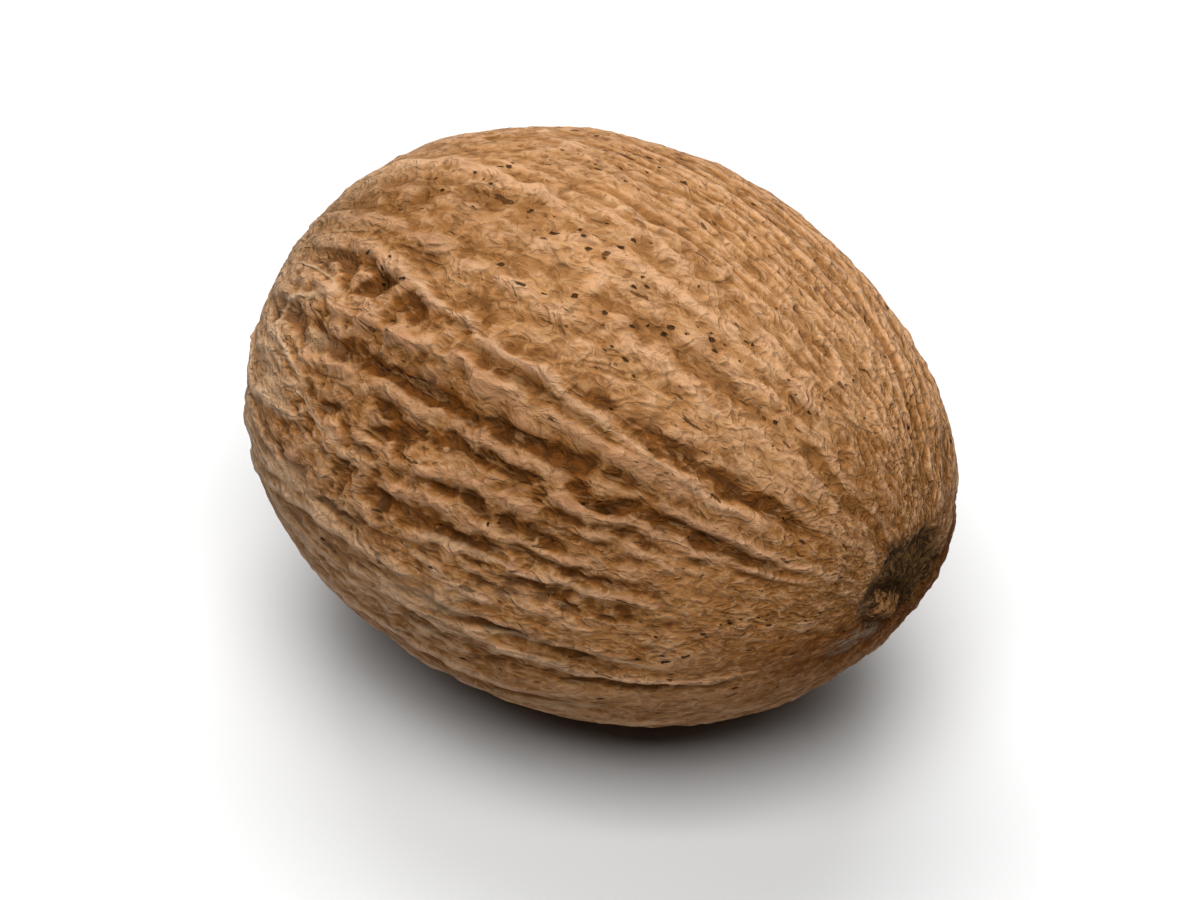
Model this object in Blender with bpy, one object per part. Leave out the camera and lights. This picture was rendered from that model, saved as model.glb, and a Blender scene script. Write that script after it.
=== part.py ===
"""Whole nutmeg: the hard dried kernel, lying on its belly.

One solid. It starts as a UV sphere whose poles are turned onto the X axis, and
its points are then moved in four steps: an ovoid with slow swells, the long
wrinkles that run from end to end, the dents at the two ends, and the small flat
on the belly that it rests on.

+X is the stalk end with its round scar, +Z is up, and the origin is at the
middle of the bounding box's underside.

Two coordinates place everything on the kernel:
  along   0 at the far tip, 1 at the stalk end
  around  degrees about the X axis, 0 at the front (-Y), 90 on top (+Z)
"""
import math

import bmesh
import bpy
import numpy as np

# Driving dimensions, metres.
LENGTH = 0.0270
WIDTH = 0.0215
HEIGHT = 0.0190
REST_CUT = 0.0002

# The ovoid: how much the girth grows towards the stalk end, and how much the
# ends are drawn in compared with an ellipsoid.
STALK_END_FULLER = -0.041
ENDS_DRAWN_IN = 0.039

# Mesh density: sides around the long axis, and rings from tip to tip.
SIDES = 120
RINGS = 40

# Slow swells of the whole body: (along, around, share of the radius).
SWELL_REACH = 0.35
SWELLS = (
    (0.12, 60, -0.023),
    (0.15, -20, -0.027),
    (0.45, -40, -0.015),
    (0.85, -20, -0.022),
    (0.70, 130, -0.012),
)

# Long wrinkles: (from, to, around at from, around at to, width in degrees, height).
# A negative height is a furrow. The front is the most wrinkled side.
WRINKLES = (
    (0.34, 0.80, 58, 47, 3.5, 0.00026),
    (0.24, 0.46, 57, 58, 4.0, -0.00034),
    (0.38, 0.74, 46, 46, 4.0, 0.00020),
    (0.28, 0.74, 41, 41, 3.0, -0.00040),
    (0.36, 0.84, 36, 38, 3.0, 0.00022),
    (0.52, 0.78, 35, 34, 3.0, -0.00030),
    (0.36, 0.74, 26, 29, 3.0, 0.00024),
    (0.44, 0.70, 18, 16, 4.5, -0.00042),
    (0.36, 0.70, 11, 13, 3.0, 0.00022),
    (0.48, 0.72, 8, 8, 3.5, -0.00028),
    (0.30, 0.76, 1, -6, 4.0, 0.00034),
    (0.40, 0.72, -6, -10, 4.5, -0.00034),
    (0.44, 0.82, -7, -19, 4.0, 0.00030),
    (0.30, 0.70, -17, -20, 5.0, -0.00030),
    (0.24, 0.48, 80, 84, 4.0, -0.00022),
    (0.62, 0.90, 73, 74, 5.0, -0.00020),
    (0.46, 0.84, 122, 126, 4.0, -0.00018),
    (0.30, 0.78, 152, 149, 4.0, -0.00026),
    (0.20, 0.66, 168, 172, 5.0, 0.00024),
    (0.34, 0.84, 184, 181, 4.0, -0.00030),
    (0.26, 0.72, 200, 205, 5.0, 0.00026),
    (0.38, 0.80, 221, 216, 4.5, -0.00034),
    (0.24, 0.70, -38, -44, 5.0, 0.00026),
    (0.36, 0.80, -54, -58, 5.0, -0.00024),
)

# Flutes all the way round: (count, height), fading out towards both ends.
FLUTES = ((7, 0.00010), (17, 0.00006))

# The stalk scar and the dent at the far tip: (radius, depth).
STALK_SCAR = (0.0014, 0.00035)
SCAR_BOSS = (0.0005, 0.00022)
TIP_DENT = (0.0012, 0.00025)

# No wrinkle reaches within this angle of the middle of the belly.
SMOOTH_BELLY = 34

SKIN_COLOUR = (0.36, 0.19, 0.085, 1.0)
SKIN_ROUGHNESS = 0.72


def ease(low, high, value):
    """Smooth step from 0 at low to 1 at high."""
    t = np.clip((value - low) / (high - low), 0.0, 1.0)
    return t * t * (3.0 - 2.0 * t)


def degrees_apart(first, second):
    """Signed angle from second to first, between -180 and 180 degrees."""
    return (first - second + 180.0) % 360.0 - 180.0


def directions(sphere):
    """Along and around for each point of the unit sphere turned onto the X axis."""
    pole = np.arccos(np.clip(sphere[:, 0], -1.0, 1.0))
    around = np.degrees(np.arctan2(sphere[:, 2], -sphere[:, 1]))
    return 1.0 - pole / math.pi, around


def closeness(sphere, along, around):
    """1 at the given place on the unit sphere, falling off over SWELL_REACH radians."""
    pole = math.pi * (1.0 - along)
    turn = math.radians(around)
    place = (math.cos(pole), -math.sin(pole) * math.cos(turn), math.sin(pole) * math.sin(turn))
    return np.exp((sphere @ np.array(place) - 1.0) / SWELL_REACH ** 2)


def ovoid(sphere):
    """Ellipsoid whose girth leans to one end, with its slow swells."""
    girth = 1.0 + STALK_END_FULLER * sphere[:, 0] - ENDS_DRAWN_IN * (sphere[:, 0] ** 2 - 0.3)
    half = np.array((LENGTH, WIDTH, HEIGHT + REST_CUT)) / 2.0
    points = sphere * half
    points[:, 1:] *= girth[:, None]
    swell = sum(share * closeness(sphere, along, around) for along, around, share in SWELLS)
    return points * (1.0 + swell)[:, None]


def wrinkle_height(sphere):
    """Height of the long wrinkles and flutes above the ovoid."""
    along, around = directions(sphere)
    height = np.zeros(len(sphere))
    for start, end, first, last, width, rise in WRINKLES:
        share = np.clip((along - start) / (end - start), 0.0, 1.0)
        line = first + (last - first) * share
        across = np.exp(-(degrees_apart(around, line) / width) ** 2)
        lengthwise = ease(start - 0.06, start + 0.08, along) * ease(end + 0.06, end - 0.08, along)
        height += rise * across * lengthwise
    body = np.sqrt(np.clip(1.0 - sphere[:, 0] ** 2, 0.0, 1.0)) ** 3
    for count, rise in FLUTES:
        height += rise * body * np.cos(count * np.radians(around) + count + 4.0 * along)
    from_belly = np.degrees(np.arccos(np.clip(-sphere[:, 2], -1.0, 1.0)))
    return height * ease(SMOOTH_BELLY * 0.5, SMOOTH_BELLY, from_belly)


def end_dents(points, sphere):
    """How far each point moves along X for the stalk scar, its boss and the tip dent."""
    off_axis = np.hypot(points[:, 1], points[:, 2])
    stalk_end = sphere[:, 0] > 0.0
    scar = -STALK_SCAR[1] * np.exp(-(off_axis / STALK_SCAR[0]) ** 4)
    boss = SCAR_BOSS[1] * np.exp(-(off_axis / SCAR_BOSS[0]) ** 2)
    dent = TIP_DENT[1] * np.exp(-(off_axis / TIP_DENT[0]) ** 2)
    return np.where(stalk_end, scar + boss, dent)


def kernel_points(sphere):
    """Every point of the kernel, flat on the belly and stretched to its exact size."""
    points = ovoid(sphere)
    outward = sphere / np.array((LENGTH, WIDTH, HEIGHT))
    outward /= np.linalg.norm(outward, axis=1)[:, None]
    points += outward * wrinkle_height(sphere)[:, None]
    points[:, 0] += end_dents(points, sphere)
    points[:, 2] = np.maximum(points[:, 2], points[:, 2].min() + REST_CUT)
    low = points.min(axis=0)
    high = points.max(axis=0)
    points -= (low[0] + high[0]) / 2.0, (low[1] + high[1]) / 2.0, low[2]
    return points * np.array((LENGTH, WIDTH, HEIGHT)) / (high - low)


def skin_material():
    """Dull light-brown skin of a dried kernel."""
    material = bpy.data.materials.new("nutmeg_skin")
    material.use_nodes = True
    shader = material.node_tree.nodes["Principled BSDF"]
    shader.inputs["Base Color"].default_value = SKIN_COLOUR
    shader.inputs["Roughness"].default_value = SKIN_ROUGHNESS
    shader.inputs["Metallic"].default_value = 0.0
    return material


def make_kernel(collection):
    """The one solid: a UV sphere with its poles on X, reshaped into the kernel."""
    shape = bmesh.new()
    bmesh.ops.create_uvsphere(shape, u_segments=SIDES, v_segments=RINGS, radius=1.0)
    mesh = bpy.data.meshes.new("kernel")
    shape.to_mesh(mesh)
    shape.free()

    flat = np.empty(len(mesh.vertices) * 3, dtype=np.float32)
    mesh.vertices.foreach_get("co", flat)
    upright = flat.reshape(-1, 3).astype(float)
    on_its_side = upright[:, [2, 0, 1]]
    points = kernel_points(on_its_side)
    mesh.vertices.foreach_set("co", points.astype(np.float32).ravel())
    mesh.shade_smooth()
    mesh.update()

    kernel = bpy.data.objects.new("kernel", mesh)
    kernel.data.materials.append(skin_material())
    collection.objects.link(kernel)
    return kernel


for old in list(bpy.data.objects):
    bpy.data.objects.remove(old, do_unlink=True)

nutmeg = bpy.data.collections.new("whole_nutmeg")
bpy.context.scene.collection.children.link(nutmeg)
make_kernel(nutmeg)
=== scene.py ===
"""A whole nutmeg lying on a pale studio floor: the kernel, the floor, the light and the camera."""
import math

import bpy
import numpy as np
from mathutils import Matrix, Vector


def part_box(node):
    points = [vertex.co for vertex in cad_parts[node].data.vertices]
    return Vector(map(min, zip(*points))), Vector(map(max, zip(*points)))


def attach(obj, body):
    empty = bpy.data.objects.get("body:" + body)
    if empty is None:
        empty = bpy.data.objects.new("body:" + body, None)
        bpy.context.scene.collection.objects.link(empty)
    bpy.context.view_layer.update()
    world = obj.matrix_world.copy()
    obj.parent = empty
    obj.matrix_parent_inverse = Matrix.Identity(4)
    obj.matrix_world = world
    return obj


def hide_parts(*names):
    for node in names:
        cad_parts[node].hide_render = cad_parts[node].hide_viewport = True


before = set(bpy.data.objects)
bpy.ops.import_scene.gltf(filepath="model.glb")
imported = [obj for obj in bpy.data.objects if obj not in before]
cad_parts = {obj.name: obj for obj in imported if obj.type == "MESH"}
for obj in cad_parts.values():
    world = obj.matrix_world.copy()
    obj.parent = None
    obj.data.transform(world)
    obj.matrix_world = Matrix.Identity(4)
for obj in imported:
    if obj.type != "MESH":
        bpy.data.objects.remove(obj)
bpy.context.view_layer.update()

# ---------------------------------------------------------------------------
# The kernel: the hard dried seed of the nutmeg tree, out of its mace and shell.
# In drying, its felty skin has shrunk into wrinkles that run from the stalk
# scar to the far tip, with a net of small hollows between. It lies loose.
# ---------------------------------------------------------------------------
MM = 0.001

# The solid's box, the grid's rings from tip to tip and sides round it, and the flat's depth.
BOX_LOW, BOX_HIGH = (np.array(corner, dtype=float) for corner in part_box("kernel"))
SIZE = BOX_HIGH - BOX_LOW
RINGS = 248
SIDES = 400
REST_CUT = 0.2 * MM

# Places on the skin: along runs from 0 at the far tip (-X) to 1 at the stalk scar (+X),
# and around is in degrees about the long axis, 0 at the front (-Y) and 90 on top (+Z).

# The ovoid, close to the solid's: how the girth grows towards the stalk end, how
# far the ends are drawn in, and slow swells (along, around, share of the radius).
STALK_END_FULLER = -0.041
ENDS_DRAWN_IN = 0.039
SWELL_REACH = 0.35
SWELLS = (
    (0.12, 60, -0.023),
    (0.13, 29, -0.022),
    (0.18, 100, -0.016),
    (0.15, -20, -0.027),
    (0.45, -38, -0.038),
    (0.85, -20, -0.022),
    (0.86, -90, -0.034),
    (0.70, 140, 0.006),
)

# Long crests and furrows: from, to, around at the start, middle and end, width in
# degrees, height in mm (negative for a furrow), and lean: under 1, the lower side
# is the steeper one.
LONG_WRINKLES = (
    # upper shoulder: the long sharp crest with a broad furrow over it
    (0.36, 0.78, 60.5, 52.5, 45.5, 2.5, 0.34, 0.35),
    (0.26, 0.46, 57, 56.5, 57, 3.9, -0.36, 1.0),
    (0.62, 0.84, 54, 52.5, 50.5, 2.9, -0.23, 1.0),
    (0.48, 0.72, 50.0, 49.6, 47.2, 1.1, -0.18, 1.0),
    (0.38, 0.74, 47, 47, 44.5, 3.8, 0.36, 0.8),
    (0.29, 0.40, 52, 48.5, 47.5, 1.7, 0.20, 0.6),
    (0.33, 0.42, 46.5, 46.5, 46, 2.0, -0.21, 1.0),
    # the deep furrow and the knotted crests under it
    (0.22, 0.70, 40.0, 40.8, 41, 2.7, -0.46, 1.0),
    (0.36, 0.60, 35.5, 38, 36, 2.0, 0.27, 0.5),
    (0.60, 0.84, 39, 39.8, 36.5, 2.7, 0.32, 0.6),
    (0.41, 0.49, 33.5, 33.5, 33, 2.0, -0.26, 1.0),
    (0.50, 0.58, 34.5, 34, 33, 2.0, -0.31, 1.0),
    (0.62, 0.78, 36, 35.5, 34.5, 2.5, -0.39, 1.0),
    (0.60, 0.82, 31.2, 32.2, 31, 1.8, 0.27, 0.5),
    (0.40, 0.50, 29, 29, 28.8, 1.7, -0.26, 1.0),
    (0.60, 0.76, 29.3, 29, 28.5, 1.6, -0.20, 1.0),
    (0.40, 0.58, 24.2, 27.5, 28, 1.7, 0.27, 0.6),
    (0.58, 0.72, 26.5, 27.8, 26, 1.7, 0.24, 0.6),
    (0.51, 0.58, 26, 25.5, 24.5, 1.8, -0.31, 1.0),
    (0.58, 0.63, 23.5, 23.3, 23, 1.6, -0.26, 1.0),
    (0.40, 0.70, 20, 20.7, 20.6, 1.8, 0.24, 0.6),
    # the front: rows of hollows between low crests
    (0.44, 0.50, 17, 16.5, 16, 2.2, -0.32, 1.0),
    (0.51, 0.56, 17, 16, 15, 2.1, -0.34, 1.0),
    (0.58, 0.69, 18, 18, 18, 2.1, -0.34, 1.0),
    (0.44, 0.58, 13.8, 13.6, 14.5, 1.5, -0.21, 1.0),
    (0.50, 0.72, 12, 13.6, 13.8, 1.6, 0.20, 0.6),
    (0.34, 0.50, 14, 11, 9.5, 1.8, 0.19, 0.7),
    (0.55, 0.71, 9.5, 9.2, 9.0, 2.5, -0.26, 1.0),
    (0.40, 0.45, 8, 8, 8, 1.8, -0.18, 1.0),
    (0.50, 0.54, 9.5, 8.5, 6.5, 1.5, -0.29, 1.0),
    (0.42, 0.70, 4, 4, 2.5, 2.8, 0.17, 0.8),
    # below the front: long thin crests that sweep down to the stalk end
    (0.28, 0.48, -2.5, 1.5, 3.5, 1.8, 0.14, 0.4),
    (0.44, 0.74, 0.8, -0.5, -8.5, 1.9, 0.16, 0.4),
    (0.46, 0.70, -1.8, -3.8, -8, 2.0, -0.20, 1.0),
    (0.48, 0.80, -5.5, -11, -20, 2.1, 0.16, 0.5),
    (0.40, 0.56, -9, -11, -13, 3.4, -0.21, 1.0),
    (0.55, 0.78, -14, -16.5, -23, 2.6, -0.19, 1.0),
    (0.40, 0.64, -19, -22, -24, 3.4, 0.13, 0.8),
    (0.44, 0.70, -26, -29, -33, 3.4, -0.14, 1.0),
    (0.30, 0.70, -35, -38, -42, 4.5, 0.18, 0.8),
    (0.36, 0.80, -54, -55, -58, 4.5, -0.14, 1.0),
    # the top: a few shallow waves
    (0.24, 0.44, 84, 83.5, 81.5, 2.2, -0.21, 1.0),
    (0.20, 0.38, 78, 77, 76, 4.5, -0.20, 1.0),
    (0.22, 0.52, 71, 69, 66, 2.6, 0.17, 0.7),
    (0.22, 0.50, 91, 90, 87, 2.6, 0.15, 0.7),
    (0.52, 0.80, 84, 85, 88, 2.4, 0.11, 0.7),
    (0.56, 0.90, 75, 74, 73, 3.6, -0.17, 1.0),
    (0.42, 0.86, 122, 124, 126, 2.5, -0.14, 1.0),
    # the back: longer, softer furrows
    (0.30, 0.78, 152, 150, 149, 4.0, -0.29, 1.0),
    (0.20, 0.66, 168, 171, 172, 4.5, 0.31, 0.7),
    (0.34, 0.84, 184, 182, 181, 3.8, -0.33, 1.0),
    (0.26, 0.72, 200, 203, 205, 4.0, 0.32, 0.6),
    (0.38, 0.80, 221, 218, 216, 4.0, -0.34, 1.0),
)

# Close-set fine ridges: from, to, around from, around to, spacing in degrees, height in mm.
FINE_RIDGES = (
    (0.44, 0.90, 92, 116, 3.1, 0.046),
    (0.44, 0.86, 117, 142, 4.6, 0.056),
    (0.30, 0.80, 145, 215, 6.5, 0.040),
)

# Thin pale cords that lie on the skin, mostly below the front: from, to, around at
# the start, middle and end, width in degrees, height in mm.
CORDS = (
    (0.22, 0.48, -20, 0.5, 3.6, 1.6, 0.22),
    (0.20, 0.40, -2, 2, 10, 1.6, 0.17),
    (0.24, 0.52, 12, 7, 3.0, 1.4, 0.16),
    (0.30, 0.56, -8, -10, -16, 1.4, 0.18),
    (0.18, 0.36, 22, 17, 22, 1.6, 0.14),
    (0.24, 0.40, 4, -5, -14, 1.5, 0.15),
    (0.46, 0.56, -0.5, -7, -10, 1.2, 0.17),
    (0.49, 0.57, 10, 6, 3.5, 1.2, 0.16),
    (0.42, 0.52, -14, -8, -4, 1.2, 0.15),
    (0.34, 0.60, -24, -21, -25, 1.5, 0.17),
    (0.56, 0.78, -9.8, -12, -20, 1.1, 0.12),
    (0.50, 0.74, 0.2, -3.2, -9.5, 1.1, 0.12),
    (0.26, 0.44, 30, 26, 20, 1.2, 0.11),
    (0.20, 0.36, 40, 33, 31, 1.3, 0.10),
    (0.50, 0.69, 12.5, 14, 14, 1.0, 0.09),
    (0.38, 0.76, 61.0, 53.0, 46.5, 0.9, 0.12),
    (0.30, 0.64, 168, 163, 165, 1.3, 0.12),
    (0.34, 0.70, 196, 190, 193, 1.2, 0.12),
    (0.40, 0.78, 232, 228, 233, 1.3, 0.12),
)

# Rows of small dark pits: from, to, around at from, around at to, half width in degrees.
PIT_ROWS = (
    (0.28, 0.50, 85, 83, 3.5),
    (0.50, 0.64, 82, 81, 3.0),
    (0.40, 0.50, 103, 111, 4.5),
    (0.34, 0.44, 97, 94, 3.0),
    (0.60, 0.72, 76, 90, 4.0),
    (0.44, 0.52, 116, 112, 3.5),
    (0.74, 0.84, 104, 122, 4.0),
    (0.48, 0.62, 70, 66, 3.5),
    (0.35, 0.42, 58, 62, 3.0),
    (0.76, 0.88, 2, 10, 6.0),
    (0.70, 0.84, -8, -4, 4.0),
    (0.30, 0.70, 160, 176, 5.0),
    (0.40, 0.80, 240, 232, 4.0),
)

# Where the net of hollows is deepest: from, to, around from, around to, depth in mm.
HOLLOW_NETS = (
    (0.34, 0.70, 4, 39, 0.20),
    (0.34, 0.68, -22, 4, 0.15),
    (0.24, 0.56, 43, 60, 0.12),
    (0.26, 0.74, 176, 228, 0.14),
)

# A thin cord runs along the top of each long crest: share of its height, and degrees.
CREST_CORD = (0.32, 0.9)

# The stalk scar, off the axis, with its boss low in it and a grey smear below. Middles
# are in mm across (Y) and up (Z) from the axis, the smear's up from the floor. The boss
# is an oval, BOSS_SHAPE long and wide, that leans by BOSS_TILT, a cosine and a sine.
SCAR_MIDDLE = (0.30, 0.60)
SCAR_HALF_SIZE = (2.0, 1.45)
SCAR_DEPTH = 0.22
SCAR_RIM = 0.09
SCAR_GRAIN = 0.11
BOSS_MIDDLE = (-0.88, -0.29)
BOSS_TILT = (0.85, 0.53)
BOSS_SHAPE = (1.3, 0.85)
BOSS_RADIUS = 0.48
BOSS_HEIGHT = 0.24
BOSS_RING_DEPTH = 0.14
SMEAR_MIDDLE = (-1.95, 7.9)
SMEAR_HALF_SIZE = (1.0, 0.60)
TIP_DENT_RADIUS = 1.2
TIP_DENT_DEPTH = 0.25


def ease(low, high, value):
    """Smooth step: 0 below low, 1 above high, 3t^2 - 2t^3 between."""
    t = np.clip((value - low) / (high - low), 0.0, 1.0)
    return t * t * (3.0 - 2.0 * t)


def window(start, end, edge, value):
    """1 between start and end, easing to 0 over edge on either side."""
    return ease(start - edge, start + edge, value) * ease(end + edge, end - edge, value)


def degrees_apart(first, second):
    """First angle minus second, brought between -180 and 180 degrees."""
    return (first - second + 180.0) % 360.0 - 180.0


# The lumps and cells below take their random numbers from tables of this many rows.
TABLE_ROWS = 256
LUMP_GAIN = 1.7


def sized(place, length, width):
    """Place divided by a pattern's length along the kernel and its width across it, in mm."""
    return place / (length, width, width)


def lattice_pick(shuffled, place):
    """One of the table's rows for each whole-number place, by three chained look-ups."""
    pick = shuffled[place[:, 0] % TABLE_ROWS]
    pick = shuffled[(pick + place[:, 1]) % TABLE_ROWS]
    return shuffled[(pick + place[:, 2]) % TABLE_ROWS]


def lumps(points, seed):
    """A random slope at each whole-number place, blended between, scaled to about -1 to 1."""
    draw = np.random.default_rng(seed)
    slopes = draw.normal(size=(TABLE_ROWS, 3))
    slopes /= np.linalg.norm(slopes, axis=1)[:, None]
    shuffled = draw.permutation(TABLE_ROWS)
    cell = np.floor(points).astype(int)
    inside = points - cell
    blend = inside ** 3 * (inside * (inside * 6.0 - 15.0) + 10.0)
    total = np.zeros(len(points))
    for corner in np.ndindex(2, 2, 2):
        weight = np.prod(np.where(corner, blend, 1.0 - blend), axis=1)
        slope = slopes[lattice_pick(shuffled, cell + corner)]
        total += weight * np.einsum("ij,ij->i", slope, inside - corner)
    return total * LUMP_GAIN


def rough(points, seed, octaves):
    """Lumps on lumps: each octave twice as fine and half as high as the one before."""
    return sum(lumps(points * 2.0 ** i, seed + i) / 2.0 ** i for i in range(octaves))


def ropes(points, seed):
    """Ropes where soft lumps pass through zero: a wide bell of their value plus a narrow one."""
    off = lumps(points, seed)
    return 0.75 * np.exp(-(off / 0.26) ** 2) + 0.45 * np.exp(-(off / 0.085) ** 2)


def hollow_cells(points, seed):
    """Second nearest minus nearest distance to centres scattered one to a unit cube.

    It is 0 on the border between two cells and grows towards their middles."""
    draw = np.random.default_rng(seed)
    scatter = draw.random((TABLE_ROWS, 3))
    shuffled = draw.permutation(TABLE_ROWS)
    cell = np.floor(points).astype(int)
    nearest = np.full(len(points), np.inf)
    second = nearest.copy()
    for step in np.ndindex(3, 3, 3):
        place = cell + step - np.array((1, 1, 1))
        gap = np.linalg.norm(place + scatter[lattice_pick(shuffled, place)] - points, axis=1)
        second = np.minimum(second, np.maximum(nearest, gap))
        nearest = np.minimum(nearest, gap)
    return second - nearest


def sphere_point(along, around):
    """Unit sphere with its poles on X: the cosine of the angle from +X, and its sine turned about X."""
    pole = math.pi * (1.0 - along)
    turn = np.radians(around)
    girth = np.sin(pole)
    return np.stack((np.cos(pole), -girth * np.cos(turn), girth * np.sin(turn)), axis=-1)


def ovoid(sphere):
    """Ellipsoid of the solid's size, its girth leaning to one end, scaled by its slow swells."""
    girth = 1.0 + STALK_END_FULLER * sphere[:, 0] - ENDS_DRAWN_IN * (sphere[:, 0] ** 2 - 0.3)
    points = sphere * (SIZE + (0.0, 0.0, REST_CUT)) / 2.0
    points[:, 1:] *= girth[:, None]
    swell = np.ones(len(sphere))
    for along, around, share in SWELLS:
        centre = sphere_point(along, around)
        swell += share * np.exp((sphere @ centre - 1.0) / SWELL_REACH ** 2)
    return points * swell[:, None]


def from_bent_line(along, around, start, end, first, middle, last):
    """Degrees from the line that is the parabola through its angles at start, middle and end."""
    t = np.clip((along - start) / (end - start), 0.0, 1.0)
    line = first * (1 - t) * (1 - 2 * t) + 4 * middle * t * (1 - t) + last * t * (2 * t - 1)
    return degrees_apart(around, line)


def long_wrinkles(along, around, beads, bridges):
    """Sum of leaning bells, each across a line bent through three angles, knotted by the beads.

    A crest's bell is the exponential of minus a square, with a thin cord along its top. A
    furrow's is that of minus a cube, so steeper, and the bridges cut it into a row of hollows."""
    cord_share, cord_width = CREST_CORD
    height = np.zeros(len(along))
    for start, end, first, middle, last, width, rise, lean in LONG_WRINKLES:
        off = from_bent_line(along, around, start, end, first, middle, last)
        share = np.abs(off) / np.where(off > 0.0, width, width * lean)
        if rise > 0.0:
            bell = np.exp(-share ** 2) + cord_share * np.exp(-(off / cord_width) ** 2)
        else:
            bell = np.exp(-share ** 3) * (1.0 - bridges)
        taper = min(0.07, (end - start) * 0.45)
        height += rise * bell * window(start, end, taper, along) * (0.85 + 0.9 * beads)
    return height


def skin_cords(along, around):
    """Height of the thin cords and nearness to them: the highest of round bells across bent lines."""
    height = np.zeros(len(along))
    nearness = np.zeros(len(along))
    for start, end, first, middle, last, width, rise in CORDS:
        off = from_bent_line(along, around, start, end, first, middle, last)
        bell = np.exp(-(off / width) ** 2) * window(start, end, 0.03, along)
        height = np.maximum(height, rise * bell)
        nearness = np.maximum(nearness, bell)
    return height, nearness


def fine_ridges(along, around, sway):
    """Cosine ridges in a few fields, each fading out at its edges and bent by the sway."""
    height = np.zeros(len(along))
    for start, end, low, high, spacing, rise in FINE_RIDGES:
        middle = (low + high) / 2.0
        off = degrees_apart(around, middle)
        field = window(start, end, 0.08, along) * window(low - middle, high - middle, 4.0, off)
        height += rise * field * np.cos(2.0 * math.pi * off / spacing + 3.0 * sway)
    return height


def hollow_net(along, around, border):
    """Depth of the net in mm, and its height: each cell sunk by a smooth step off its border."""
    depth = np.full(len(along), 0.02)
    for start, end, low, high, sunk in HOLLOW_NETS:
        middle = (low + high) / 2.0
        off = degrees_apart(around, middle)
        field = window(start, end, 0.07, along) * window(low - middle, high - middle, 6.0, off)
        depth = np.maximum(depth, sunk * field)
    return depth, -depth * ease(0.03, 0.30, border)


def pit_rows(along, around):
    """1 along the middle of each row of pits, falling off to its sides and ends."""
    crowd = np.zeros(len(along))
    for start, end, first, last, width in PIT_ROWS:
        line = first + (last - first) * np.clip((along - start) / (end - start), 0.0, 1.0)
        across = np.exp(-(degrees_apart(around, line) / width) ** 2)
        crowd = np.maximum(crowd, across * window(start, end, 0.03, along))
    return crowd


# The grid's points, ring by ring from the far tip, and then the two poles.
along_grid, around_grid = np.meshgrid(
    np.arange(1, RINGS + 1) / (RINGS + 1), np.arange(SIDES) * 360.0 / SIDES, indexing="ij"
)
along = np.concatenate((along_grid.ravel(), (0.0, 1.0)))
around = np.concatenate((around_grid.ravel(), (0.0, 0.0)))
sphere = sphere_point(along, around)
body = ovoid(sphere)
skin_mm = body / MM

# Combed: a place in mm whose first number is the way over the top from the far tip,
# so that a pattern drawn out in it runs from end to end, as the fibres do.
MERIDIAN_STEPS = 400
stations = np.linspace(0, 1, MERIDIAN_STEPS + 1)
meridian = ovoid(sphere_point(stations, 90.0))
meridian_length = np.cumsum(np.linalg.norm(np.diff(meridian, axis=0), axis=1))
arc = np.interp(along, stations[1:], meridian_length) / MM
half_girth = math.sqrt(SIZE[1] * SIZE[2]) / 2.0 / MM
spread_girth = half_girth * np.clip(np.sin(math.pi * along), 0.02, 1.0) ** 0.6
turn = np.radians(around)
combed = np.stack((arc, -spread_girth * np.cos(turn), spread_girth * np.sin(turn)), axis=1)

# Every line on the skin wanders: slowly, closely, and more on the front. In degrees
# of the full girth, and lengthwise as a share of the length.
SLOW_WANDER = 1.3
CLOSE_WANDER = 0.9
FINE_WANDER = 0.25
FRONT_FINE_WANDER = 0.55
LENGTHWISE_WANDER = 0.012
front = window(0.34, 0.74, 0.08, along) * window(0, 56, 8.0, degrees_apart(around, 0.0))
wander = SLOW_WANDER * lumps(sized(combed, 3.6, 2.0), 11)
wander += CLOSE_WANDER * lumps(sized(combed, 1.3, 0.8), 12)
wander += (FINE_WANDER + FRONT_FINE_WANDER * front) * lumps(sized(combed, 0.70, 0.9), 16)
bent_around = around + wander / np.clip(np.sin(math.pi * along), 0.25, 1.0)
bent_along = along + LENGTHWISE_WANDER * lumps(sized(combed, 1.8, 1.8), 13)
around_signed = degrees_apart(bent_around, 0.0)
smooth_end = ease(0.74, 0.84, bent_along)

# The net of hollows: its cells are twisted, so that no border runs straight.
TWIST = 0.55
twist = np.stack([lumps(sized(combed, 1.2, 0.9), seed) for seed in (21, 22, 23)], axis=1)
twisted = combed + TWIST * twist
border = hollow_cells(sized(twisted, 1.4, 0.85), 24)
net_depth, net = hollow_net(bent_along, bent_around, border)
wrinkled = ease(0.02, 0.12, net_depth)

# The long wrinkles, knotted by beads, their furrows on the front cut by bridges.
BRIDGE_SHARE = 0.62
WRINKLED_BEADS = 0.5
beads = lumps(sized(combed, 1.1, 0.8), 14) * (1.0 + WRINKLED_BEADS * wrinkled)
bridges = BRIDGE_SHARE * front * ropes(sized(combed, 1.5, 1.8), 38)
height = long_wrinkles(bent_along, bent_around, beads, bridges)
cord_height, cords = skin_cords(bent_along, bent_around)
height += cord_height

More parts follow.
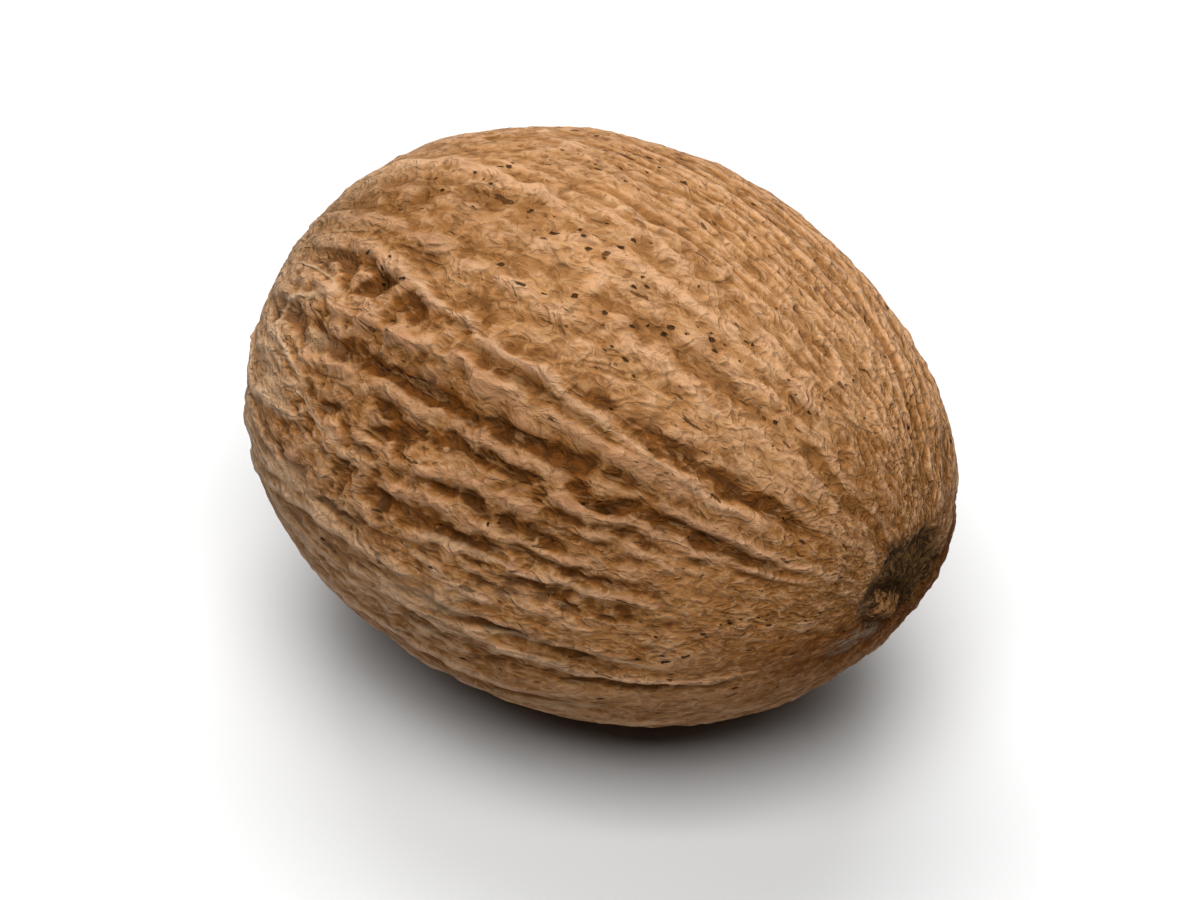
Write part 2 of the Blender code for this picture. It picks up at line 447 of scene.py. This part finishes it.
# Over them the ridges, the net, and the ropes and lumps of the whole skin, in mm.
HOLLOW_ROPES = 0.05
ROPE_HEIGHT = 0.060
FRONT_ROPES_HIGHER = 0.050
SMOOTH_END_LOWER = 0.030
FAR_TIP_ROPES = 0.4
THIN_ROPES = 0.45
PLAIN_SKIN_ROPES = 0.034
BROAD_LUMPS = 0.07
CLOSE_LUMPS = 0.052
GRAIN = 0.014
FRONT_GRAIN = 0.020
height += HOLLOW_ROPES * wrinkled * front * ropes(sized(combed, 1.5, 1.2), 37)
height += fine_ridges(bent_along, bent_around, lumps(sized(combed, 4.0, 1.3), 15))
height += net
rope_height = ROPE_HEIGHT + FRONT_ROPES_HIGHER * wrinkled * front - SMOOTH_END_LOWER * smooth_end
rope_height = rope_height * (FAR_TIP_ROPES + (1.0 - FAR_TIP_ROPES) * ease(0.18, 0.38, bent_along))
height += rope_height * ropes(sized(twisted, 7.0, 1.7), 31)
height += THIN_ROPES * rope_height * ropes(sized(twisted, 3.2, 1.0), 32)
height += PLAIN_SKIN_ROPES * (1.0 - wrinkled) * ropes(sized(twisted, 5.0, 0.85), 36)
height += BROAD_LUMPS * lumps(sized(combed, 4.0, 2.2), 34)
height += CLOSE_LUMPS * lumps(sized(combed, 1.6, 0.8), 33)
height += (GRAIN + FRONT_GRAIN * wrinkled * front) * rough(sized(combed, 0.60, 0.42), 35, 2)

# It is all lower towards the ends, on the belly, on the front and below the front.
LEFT_AT_ENDS = 0.35
LEFT_ON_BELLY = 0.25
LOST_ON_FRONT = 0.27
LOST_BELOW_FRONT = 0.46
off_ends = LEFT_AT_ENDS + (1.0 - LEFT_AT_ENDS) * ease(0.0, 0.16, along) * ease(1.0, 0.88, along)
from_belly = np.degrees(np.arccos(np.clip(-sphere[:, 2], -1.0, 1.0)))
off_belly = LEFT_ON_BELLY + (1.0 - LEFT_ON_BELLY) * ease(17, 34, from_belly)
lower_front = ease(16, -4, around_signed) * ease(-80, -60, around_signed)
lower_front = lower_front * window(0.22, 0.88, 0.06, bent_along)
height *= off_ends * off_belly * (1.0 - LOST_ON_FRONT * front) * (1.0 - LOST_BELOW_FRONT * lower_front)

# Each point stands off the ovoid by that height, square to it.
outward = sphere / SIZE
outward /= np.linalg.norm(outward, axis=1)[:, None]
points = body + outward * (height * MM)[:, None]

# The ends, pushed in and out along X. Scar edge is 1 on the scar's frayed outline, and
# boss off is the distance from the boss's middle, drawn out one way.
FAR_OFF = 9.0
y_mm, z_mm = points[:, 1] / MM, points[:, 2] / MM
stalk_half = sphere[:, 0] > 0.0
scar_across = (y_mm - SCAR_MIDDLE[0]) / SCAR_HALF_SIZE[0]
scar_up = (z_mm - SCAR_MIDDLE[1]) / SCAR_HALF_SIZE[1]
scar_edge = np.hypot(scar_across, scar_up) + 0.22 * lumps(skin_mm / 0.9, 41)
scar_edge = np.where(stalk_half, scar_edge, FAR_OFF)
boss_across, boss_up = y_mm - BOSS_MIDDLE[0], z_mm - BOSS_MIDDLE[1]
boss_long = (BOSS_TILT[0] * boss_across - BOSS_TILT[1] * boss_up) / BOSS_SHAPE[0]
boss_short = (BOSS_TILT[1] * boss_across + BOSS_TILT[0] * boss_up) / BOSS_SHAPE[1]
boss_off = np.hypot(boss_long, boss_short)
boss = np.exp(-(boss_off / BOSS_RADIUS) ** 2) * (1.0 + 0.5 * lumps(skin_mm / 0.45, 43))
boss_ring = np.exp(-((boss_off - 0.95) / 0.25) ** 2)
push = (BOSS_HEIGHT * boss - BOSS_RING_DEPTH * boss_ring) * stalk_half
push -= SCAR_DEPTH * np.exp(-scar_edge ** 4)
push += SCAR_RIM * np.exp(-((scar_edge - 1.15) / 0.22) ** 2)
push += SCAR_GRAIN * rough(skin_mm / 0.55, 42, 2) * ease(1.2, 0.7, scar_edge)
tip_dent = TIP_DENT_DEPTH * np.exp(-(np.hypot(y_mm, z_mm) / TIP_DENT_RADIUS) ** 2)
points[:, 0] += (push + np.where(stalk_half, 0.0, tip_dent)) * MM

# The flat that it lies on, and the exact box of the solid.
points[:, 2] = np.maximum(points[:, 2], points[:, 2].min() + REST_CUT)
low, high = points.min(axis=0), points.max(axis=0)
points = BOX_LOW + (points - low) * SIZE / (high - low)


def closed_grid(rings, sides):
    """Four-sided faces between neighbouring rings, and a fan of triangles at either pole."""
    ring, side = np.meshgrid(np.arange(rings - 1), np.arange(sides), indexing="ij")
    here = (ring * sides + side).ravel()
    beside = (ring * sides + (side + 1) % sides).ravel()
    strips = np.stack((here, here + sides, beside + sides, beside), axis=1)
    first = np.arange(sides)
    second = (first + 1) % sides
    top = (rings - 1) * sides
    low_pole = np.full(sides, rings * sides)
    far_fan = np.stack((low_pole, first, second), axis=1)
    near_fan = np.stack((low_pole + 1, top + second, top + first), axis=1)
    return strips, np.concatenate((far_fan, near_fan))


def mesh_from_faces(name, points, strips, fans):
    """A mesh from whole arrays: vertices, then the corners of the quads and of the triangles."""
    mesh = bpy.data.meshes.new(name)
    mesh.vertices.add(len(points))
    mesh.vertices.foreach_set("co", points.astype(np.float32).ravel())
    corners = np.concatenate((strips.ravel(), fans.ravel()))
    counts = np.concatenate((np.full(len(strips), 4), np.full(len(fans), 3)))
    mesh.loops.add(len(corners))
    mesh.loops.foreach_set("vertex_index", corners.astype(np.int32))
    mesh.polygons.add(len(counts))
    starts = np.concatenate(((0,), np.cumsum(counts)[:-1]))
    mesh.polygons.foreach_set("loop_start", starts.astype(np.int32))
    mesh.update(calc_edges=True)
    mesh.validate()
    mesh.shade_smooth()
    return mesh


def blurred(values, width):
    """Values smoothed over width metres: a Gaussian round each ring, then one from ring to ring."""
    grid = values[:RINGS * SIDES].reshape(RINGS, SIDES)
    off_axis = np.hypot(body[:, 1], body[:, 2])[:RINGS * SIDES]
    girth = off_axis.reshape(RINGS, SIDES).mean(axis=1)
    waves = np.arange(SIDES // 2 + 1)
    fade = np.exp(-0.5 * (waves[None, :] * width / girth[:, None]) ** 2)
    grid = np.fft.irfft(np.fft.rfft(grid, axis=1) * fade, n=SIDES, axis=1)
    step = math.pi * SIZE[0] / 2.0 / (RINGS + 1)
    apart = np.subtract.outer(np.arange(RINGS), np.arange(RINGS)) * step
    weights = np.exp(-0.5 * (apart / width) ** 2)
    grid = (weights / weights.sum(axis=1)[:, None]) @ grid
    return np.concatenate((grid.ravel(), grid[[0, -1]].mean(axis=1)))


def keep_on_mesh(mesh, fields):
    """Stores each named field on the mesh, one number or three a vertex, for the material to read."""
    for name, values in fields.items():
        kind, slot = ("FLOAT", "value") if values.ndim == 1 else ("FLOAT_VECTOR", "vector")
        stored = mesh.attributes.new(name, kind, "POINT")
        stored.data.foreach_set(slot, values.astype(np.float32).ravel())


# Where each finish, and each patch of painted light or shade, lies on the skin, 0 to 1. The two reliefs
# are the height in mm over the skin round about, near and wide, and colour the crests and hollows, with
# painted shade in the hollows and a painted highlight on the crests.
CLOSE_REACH = 0.45 * MM
WIDE_REACH = 1.2 * MM
LEAST_FURROWED = 0.30
furrowed_side = window(0.22, 0.84, 0.06, bent_along) * window(-34, 60, 8.0, around_signed)
lower_left = window(-26, 10, 8, around_signed) * ease(0.6, 0.3, along)
veined = np.maximum(ease(0.46, 0.30, bent_along), 0.8 * lower_front * ease(0.80, 0.60, bent_along))
# Painted shade: the dip on the top and the deep furrows on the front are darkened where shade falls.
dip_on_top = window(0.18, 0.46, 0.06, bent_along) * window(62, 84, 7, around_signed)
deep_front = window(0.36, 0.72, 0.08, bent_along) * window(24, 54, 10, around_signed)
# Painted light: the top is made paler where the light falls on it, most at the middle of the length.
painted_light_side = ease(5, 70, around_signed) * ease(185, 120, around_signed)
painted_light_middle = ease(0.15, 0.45, along) * ease(0.98, 0.84, along)
smear_across = (points[:, 1] / MM - SMEAR_MIDDLE[0]) / SMEAR_HALF_SIZE[0]
smear_up = (points[:, 2] / MM - SMEAR_MIDDLE[1]) / SMEAR_HALF_SIZE[1]

kernel_mesh = mesh_from_faces("nutmeg_kernel", points, *closed_grid(RINGS, SIDES))
keep_on_mesh(kernel_mesh, {
    "close_relief": height - blurred(height, CLOSE_REACH),
    "wide_relief": height - blurred(height, WIDE_REACH),
    "combed": combed,
    "cords": cords,
    "furrowed": LEAST_FURROWED + (1.0 - LEAST_FURROWED) * np.maximum(wrinkled, furrowed_side),
    "pitted": pit_rows(bent_along, bent_around),
    "stained": ease(3.2, 1.0, scar_edge),
    "shaded_end": ease(4.4, 1.4, scar_edge) * ease(8, -14, around_signed),
    "khaki": ease(0.36, 0.16, bent_along) + 0.5 * lower_left,
    "golden": smooth_end,
    "veined": veined * (1.0 - 0.8 * window(64, 130, 10, around_signed)),
    "painted_dip_and_front_shade": np.maximum(dip_on_top, 0.7 * deep_front),
    "painted_top_light": painted_light_side * painted_light_middle,
    "under": ease(8, -34, around_signed) * (around_signed > -120),
    "scar": ease(1.25, 0.75, scar_edge),
    "boss_off": np.where(stalk_half, boss_off, FAR_OFF),
    "smear": ease(1.3, 0.7, np.hypot(smear_across, smear_up)) * stalk_half,
})
kernel = bpy.data.objects.new("nutmeg_kernel", kernel_mesh)
bpy.context.scene.collection.objects.link(kernel)


def new_material(name):
    """An empty node material with its output and Principled shader, and the node tree."""
    material = bpy.data.materials.new(name)
    material.use_nodes = True
    return material, material.node_tree, material.node_tree.nodes["Principled BSDF"]


def add(tree, kind, inputs=None, **settings):
    """A node with its settings, each input given by name or number: a value or another's socket."""
    node = tree.nodes.new(kind)
    for name, value in settings.items():
        setattr(node, name, value)
    for name, value in (inputs or {}).items():
        if isinstance(value, bpy.types.NodeSocket):
            tree.links.new(value, node.inputs[name])
        else:
            node.inputs[name].default_value = value
    return node


def maths(tree, operation, first, second=0.0):
    """The result of one sum on two numbers or sockets."""
    return add(tree, "ShaderNodeMath", {0: first, 1: second}, operation=operation).outputs[0]


def spread(tree, value, low, high, to_low=0.0, to_high=1.0):
    """Value brought smoothly from the range low..high to to_low..to_high."""
    node = add(tree, "ShaderNodeMapRange", {"Value": value, 1: low, 2: high, 3: to_low, 4: to_high},
               interpolation_type="SMOOTHSTEP")
    return node.outputs[0]


def mixed(tree, share, first, second, blend="MIX"):
    """Two colours mixed by share, or the second laid on the first by the blend named."""
    node = add(tree, "ShaderNodeMix", {0: share, 6: first, 7: second}, data_type="RGBA", blend_type=blend)
    return node.outputs[2]


def noise(tree, place, scale, detail=2.0, roughness=0.5, distortion=0.0):
    """Noise from 0 to 1, with scale lumps to each unit of the place: here, a millimetre."""
    inputs = {"Vector": place, "Scale": scale, "Detail": detail, "Roughness": roughness}
    node = add(tree, "ShaderNodeTexNoise", {**inputs, "Distortion": distortion})
    return node.outputs["Fac"]


def strands(tree, place, scale, thickness, distortion):
    """Thin winding lines where a noise passes its middle value."""
    level = noise(tree, place, scale, 1.5, 0.5, distortion)
    off = maths(tree, "ABSOLUTE", maths(tree, "SUBTRACT", level, 0.5))
    return spread(tree, off, thickness, 0.0)


def whorls(tree, place, scale, lines):
    """Fine contour lines round the lumps of a noise: a sine of the noise times the number of lines."""
    level = noise(tree, place, scale, 0.6, 0.4, 0.35)
    wave = maths(tree, "SINE", maths(tree, "MULTIPLY", level, lines * 2.0 * math.pi))
    return spread(tree, wave, -1.0, 1.0)


# The colours of the skin, in the order in which they are laid on. The two tints multiply.
SKIN_BROWN = (0.190, 0.077, 0.019, 1)
SKIN_TAN = (0.235, 0.101, 0.028, 1)
PATCH_TAN = (0.300, 0.160, 0.082, 1)
STREAK_GOLD = (0.310, 0.158, 0.058, 1)
TOP_LIGHT_TAN = (0.320, 0.167, 0.073, 1)
UNDER_BROWN = (0.240, 0.132, 0.066, 1)
DEEP_KHAKI = (0.200, 0.120, 0.062, 1)
GOLDEN_BROWN = (0.170, 0.066, 0.012, 1)
SCAR_STAIN = (0.100, 0.038, 0.008, 1)
FLANK_BROWN = (0.190, 0.074, 0.017, 1)
BROW_TAN = (0.310, 0.157, 0.072, 1)
HOLLOW_ORANGE = (0.160, 0.053, 0.008, 1)
HOLLOW_SHADE_DARK = (0.042, 0.014, 0.003, 1)
GROOVE_SHADE_BROWN = (0.062, 0.021, 0.004, 1)
CREST_TAN_AND_HIGHLIGHT = (0.330, 0.168, 0.080, 1)
CORD_CREAM = (0.350, 0.220, 0.125, 1)
LOW_LINE_SHADE_BROWN = (0.150, 0.060, 0.014, 1)
HIGH_LINE_TAN_AND_HIGHLIGHT = (0.410, 0.225, 0.112, 1)
DARK_DASH = (0.090, 0.033, 0.008, 1)
PALE_DASH = (0.330, 0.190, 0.090, 1)
WHORL_BROWN = (0.110, 0.044, 0.012, 1)
FIBRE_TAN = (0.330, 0.195, 0.098, 1)
DARK_CURL = (0.085, 0.030, 0.007, 1)
PALE_CURL = (0.330, 0.190, 0.095, 1)
CRACK_DARK = (0.030, 0.011, 0.003, 1)
PALE_KHAKI = (0.250, 0.160, 0.090, 1)
VEIN_CREAM = (0.370, 0.245, 0.145, 1)
DIP_SHADE_TINT = (0.76, 0.70, 0.59, 1)
SHADED_TINT = (0.55, 0.42, 0.28, 1)
PIT_DARK = (0.014, 0.006, 0.002, 1)
SCAR_BROWN = (0.085, 0.045, 0.017, 1)
SCAR_GREY = (0.020, 0.012, 0.007, 1)
BOSS_TAN = (0.225, 0.112, 0.045, 1)
BOSS_BROWN = (0.100, 0.042, 0.012, 1)
RING_DARK = (0.018, 0.009, 0.004, 1)
SMEAR_GREY = (0.185, 0.140, 0.108, 1)
BUMP_HEIGHT = 0.07 * MM


def nutmeg_skin():
    """Dull felty skin: pale crests with a painted highlight, orange-brown hollows with painted shade,
    dark pits, curled fibres and a grey scar, with painted light on the top and painted shade in the dip,
    on the front and at the stalk end.

    Each line lays one colour over the last by a share, which is worked out from a field kept on
    the mesh, from a noise in combed millimetres, or from both."""
    material, tree, shader = new_material("nutmeg_skin")

    def stored(name, output="Fac"):
        """A field kept on the mesh."""
        return add(tree, "ShaderNodeAttribute", attribute_name=name).outputs[output]

    def stretched(length):
        """The combed place, its patterns drawn out lengthwise."""
        scale = (1.0 / length, 1.0, 1.0)
        return add(tree, "ShaderNodeMapping", {"Vector": combed, "Scale": scale}).outputs[0]

    def times(first, second):
        """First times second."""
        return maths(tree, "MULTIPLY", first, second)

    def less(first, second):
        """First minus second."""
        return maths(tree, "SUBTRACT", first, second)

    def plus(first, second):
        """First plus second."""
        return maths(tree, "ADD", first, second)

    combed = stored("combed", "Vector")
    fibrous = stretched(1.35)
    streaky = stretched(3.2)
    close = stored("close_relief")
    wide = stored("wide_relief")
    furrowed = stored("furrowed")

    # The noises, from the broadest to the finest, and the marks drawn from them.
    tone = noise(tree, combed, 0.17, 3.0, 0.55)
    patch = noise(tree, fibrous, 0.34, 2.0, 0.5, 0.6)
    streak = noise(tree, streaky, 1.2, 4.0, 0.60, 0.5)
    dashes = noise(tree, stretched(3.6), 2.6, 2.0, 0.5, 0.8)
    mottle = noise(tree, fibrous, 2.2, 3.0, 0.6, 0.7)
    curl = noise(tree, fibrous, 2.2, 2.0, 0.50, 1.7)
    grain = noise(tree, combed, 7.0, 2.0, 0.65)
    whorl_patches = spread(tree, noise(tree, combed, 0.5, 1.0), 0.36, 0.52)
    whorl = times(whorls(tree, fibrous, 0.80, 7.0), whorl_patches)
    fibre_patches = spread(tree, noise(tree, combed, 1.1, 1.0), 0.42, 0.60)
    fibre = times(strands(tree, fibrous, 1.0, 0.070, 0.8), fibre_patches)
    crack = spread(tree, dashes, 0.690, 0.720)
    vein = times(strands(tree, stretched(4.0), 0.40, 0.040, 0.5), stored("veined"))

    # The ground colour, and how it changes from place to place.
    colour = mixed(tree, spread(tree, tone, 0.35, 0.65), SKIN_BROWN, SKIN_TAN)
    colour = mixed(tree, spread(tree, patch, 0.48, 0.64, 0.0, 0.45), colour, PATCH_TAN)
    colour = mixed(tree, spread(tree, streak, 0.40, 0.62, 0.0, 0.50), colour, STREAK_GOLD)
    # Painted light: paler tan over the top.
    colour = mixed(tree, times(stored("painted_top_light"), 0.50), colour, TOP_LIGHT_TAN)
    colour = mixed(tree, times(stored("under"), 0.35), colour, UNDER_BROWN)
    colour = mixed(tree, times(stored("khaki"), 0.62), colour, DEEP_KHAKI)
    colour = mixed(tree, times(stored("golden"), 0.55), colour, GOLDEN_BROWN)
    colour = mixed(tree, times(stored("stained"), 0.60), colour, SCAR_STAIN)

    # Crests and hollows, by their height in mm over the skin round about. The hollows and grooves carry
    # painted shade, and the crests a painted highlight.
    flank = spread(tree, close, 0.055, -0.02)
    colour = mixed(tree, times(flank, times(furrowed, 0.50)), colour, FLANK_BROWN)
    brow = spread(tree, wide, 0.04, 0.22)
    colour = mixed(tree, times(brow, times(furrowed, 0.45)), colour, BROW_TAN)
    # Painted shade: the hollows run from orange-brown skin to near black where shade falls in them.
    hollow_tone_and_shade = mixed(tree, spread(tree, mottle, 0.43, 0.55), HOLLOW_ORANGE, HOLLOW_SHADE_DARK)
    hollow = spread(tree, wide, 0.0, -0.13)
    colour = mixed(tree, times(hollow, times(furrowed, 0.90)), colour, hollow_tone_and_shade)
    # Painted shade along the grooves.
    groove = spread(tree, close, -0.01, -0.08)
    colour = mixed(tree, times(groove, times(furrowed, 0.50)), colour, GROOVE_SHADE_BROWN)
    # Paler skin on the crests, with a painted highlight along their tops.
    crest = spread(tree, close, 0.035, 0.105)
    colour = mixed(tree, times(crest, 0.50), colour, CREST_TAN_AND_HIGHLIGHT)
    cord = spread(tree, stored("cords"), 0.35, 0.85)
    colour = mixed(tree, times(cord, 0.60), colour, CORD_CREAM)

    # Fine lines where the skin is smooth: painted shade along their grooves, and paler skin with a
    # painted highlight along their ridges.
    plain = less(1.0, furrowed)
    low_lines = times(spread(tree, close, -0.004, -0.034), plain)
    colour = mixed(tree, times(low_lines, 0.72), colour, LOW_LINE_SHADE_BROWN)
    high_lines = times(spread(tree, close, 0.006, 0.036), plain)
    colour = mixed(tree, times(high_lines, 0.70), colour, HIGH_LINE_TAN_AND_HIGHLIGHT)

    # Dashes, whorls, fibres, curls and cracks of the felt.
    colour = mixed(tree, spread(tree, dashes, 0.54, 0.66, 0.0, 0.15), colour, DARK_DASH)
    colour = mixed(tree, spread(tree, dashes, 0.44, 0.36, 0.0, 0.38), colour, PALE_DASH)
    colour = mixed(tree, times(whorl, 0.30), colour, WHORL_BROWN)
    off_floor = less(1.0, times(hollow, 0.85))
    colour = mixed(tree, times(times(fibre, off_floor), 0.30), colour, FIBRE_TAN)
    dark_curl = times(spread(tree, curl, 0.52, 0.68), spread(tree, wide, 0.02, 0.16, 0.50, 0.12))
    colour = mixed(tree, dark_curl, colour, DARK_CURL)
    pale_curl = times(spread(tree, curl, 0.46, 0.34), spread(tree, wide, -0.10, 0.02, 0.04, 0.55))
    colour = mixed(tree, pale_curl, colour, PALE_CURL)
    colour = mixed(tree, times(crack, 0.70), colour, CRACK_DARK)

    # Casts over all of it.
    colour = mixed(tree, times(stored("khaki"), 0.45), colour, PALE_KHAKI)
    colour = mixed(tree, times(vein, 0.55), colour, VEIN_CREAM)
    # Painted shade multiplied over the dip on the top and the deep front.
    colour = mixed(tree, stored("painted_dip_and_front_shade"), colour, DIP_SHADE_TINT, "MULTIPLY")
    colour = mixed(tree, stored("shaded_end"), colour, SHADED_TINT, "MULTIPLY")

    # Pits: a cell of the Voronoi pattern holds one if its random draw is high enough.
    uneven = add(tree, "ShaderNodeVectorMath", {0: stretched(1.7), 1: times(curl, 0.22)}, operation="ADD")
    pit_cells = add(tree, "ShaderNodeTexVoronoi", {"Vector": uneven.outputs[0], "Scale": 3.0})
    pit_draw = add(tree, "ShaderNodeSeparateColor", {0: pit_cells.outputs["Color"]})
    bar = spread(tree, stored("pitted"), 0.0, 0.7, 0.955, 0.25)
    picked = maths(tree, "GREATER_THAN", pit_draw.outputs[0], bar)
    reach = spread(tree, pit_draw.outputs[1], 0.0, 1.0, 0.13, 0.31)
    inside = less(1.0, maths(tree, "DIVIDE", pit_cells.outputs["Distance"], reach))
    pit = times(spread(tree, inside, 0.0, 0.55), picked)
    colour = mixed(tree, times(pit, 0.88), colour, PIT_DARK)

    # The scar, its boss in a dark ring, and a grey smear beside it.
    broken = plus(stored("scar"), times(less(mottle, 0.5), 1.6))
    scar_tone = mixed(tree, spread(tree, mottle, 0.42, 0.60), SCAR_BROWN, SCAR_GREY)
    colour = mixed(tree, times(spread(tree, broken, 0.05, 0.85), 0.92), colour, scar_tone)
    frayed = plus(stored("boss_off"), times(less(mottle, 0.5), 1.3))
    boss_tone = mixed(tree, spread(tree, mottle, 0.42, 0.58), BOSS_TAN, BOSS_BROWN)
    colour = mixed(tree, spread(tree, frayed, 1.25, 0.85, 0.0, 0.66), colour, RING_DARK)
    colour = mixed(tree, spread(tree, frayed, 0.74, 0.40, 0.0, 0.84), colour, boss_tone)
    smear = times(stored("smear"), spread(tree, mottle, 0.38, 0.56))
    colour = mixed(tree, times(smear, 0.65), colour, SMEAR_GREY)
    tree.links.new(colour, shader.inputs["Base Color"])

    # Bump: fibres and veins stand up, and the rest is sunk.
    relief = plus(times(fibre, 0.7), times(vein, 1.3))
    sunk_marks = (
        (whorl, 0.55), (crack, 1.2), (dashes, 1.6), (mottle, 2.0),
        (curl, 2.2), (grain, 0.35), (pit, 2.5),
    )
    for mark, depth in sunk_marks:
        relief = less(relief, times(mark, depth))
    bump = add(tree, "ShaderNodeBump", {"Strength": 1.0, "Distance": BUMP_HEIGHT, "Height": relief})
    tree.links.new(bump.outputs[0], shader.inputs["Normal"])

    # A faint sheen on the crests, none in the pits, cracks and scar.
    tree.links.new(spread(tree, curl, 0.3, 0.7, 0.60, 0.78), shader.inputs["Roughness"])
    gloss = spread(tree, close, -0.03, 0.09, 0.02, 0.26)
    dark_marks = maths(tree, "MAXIMUM", maths(tree, "MAXIMUM", pit, crack), stored("scar"))
    gloss = times(gloss, less(1.0, times(stored("shaded_end"), 0.9)))
    tree.links.new(times(gloss, less(1.0, dark_marks)), shader.inputs["Specular IOR Level"])
    return material


kernel.data.materials.append(nutmeg_skin())
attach(kernel, "root")
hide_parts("kernel")

# ---------------------------------------------------------------------------
# The studio: a matt pale board to lie on, and three square softboxes, one high in
# front, one high behind and a weak one at the left, in an almost dark room.
# ---------------------------------------------------------------------------
REACH = 3.0
FLOOR_CORNERS = ((-REACH, -REACH, 0), (REACH, -REACH, 0), (REACH, REACH, 0), (-REACH, REACH, 0))
BOARD_GREY = (0.45, 0.45, 0.45, 1)
ROOM_LIGHT = 0.02
floor_mesh = bpy.data.meshes.new("studio_floor")
floor_mesh.from_pydata(FLOOR_CORNERS, [], [(0, 1, 2, 3)])
floor = bpy.data.objects.new("studio_floor", floor_mesh)
bpy.context.scene.collection.objects.link(floor)
floor_paint, _, floor_shader = new_material("white_board")
floor_shader.inputs["Base Color"].default_value = BOARD_GREY
floor_shader.inputs["Roughness"].default_value = 0.9
floor_shader.inputs["Specular IOR Level"].default_value = 0.1
floor.data.materials.append(floor_paint)

room = bpy.data.worlds.new("dim_room")
room.use_nodes = True
room_shader = room.node_tree.nodes["Background"]
room_shader.inputs["Color"].default_value = (1, 1, 1, 1)
room_shader.inputs["Strength"].default_value = ROOM_LIGHT
bpy.context.scene.world = room
bpy.context.scene.view_settings.view_transform = "Standard"

kernel_middle = (BOX_LOW + BOX_HIGH) / 2.0


def aim(thing, azimuth, elevation, distance, target):
    """Puts a camera or light at an azimuth and elevation from the target, looking at it.

    It stands off along the unit vector of the two angles, azimuth 0 being the front (-Y)."""
    turn, rise = math.radians(azimuth), math.radians(elevation)
    back = np.array((math.sin(turn) * math.cos(rise), -math.cos(turn) * math.cos(rise), math.sin(rise)))
    thing.location = target + back * distance
    thing.rotation_euler = (math.pi / 2 - rise, 0.0, turn)


def soft_light(name, azimuth, elevation, distance, width, power):
    """A square area light aimed at the kernel."""
    lamp = bpy.data.lights.new(name, "AREA")
    lamp.size = width
    lamp.energy = power
    light = bpy.data.objects.new(name, lamp)
    bpy.context.scene.collection.objects.link(light)
    aim(light, azimuth, elevation, distance, kernel_middle)


soft_light("high_front_softbox", azimuth=39, elevation=66, distance=3.0, width=2.2, power=160.0)
soft_light("high_back_softbox", azimuth=219, elevation=52, distance=3.0, width=2.2, power=120.0)
soft_light("left_softbox", azimuth=264, elevation=40, distance=3.0, width=2.2, power=28.0)

CAMERA_AZIMUTH = 39.0
CAMERA_ELEVATION = 39.0
CAMERA_DISTANCE = 0.42
VIEW_WIDTH = 0.0415
VIEW_DROP = 0.0010
camera_data = bpy.data.cameras.new("camera")
camera_data.sensor_width = 36.0
camera_data.lens = camera_data.sensor_width * CAMERA_DISTANCE / VIEW_WIDTH
camera_data.clip_start = 0.01
camera = bpy.data.objects.new("camera", camera_data)
bpy.context.scene.collection.objects.link(camera)
aim(camera, CAMERA_AZIMUTH, CAMERA_ELEVATION, CAMERA_DISTANCE, kernel_middle - (0.0, 0.0, VIEW_DROP))
bpy.context.scene.camera = camera
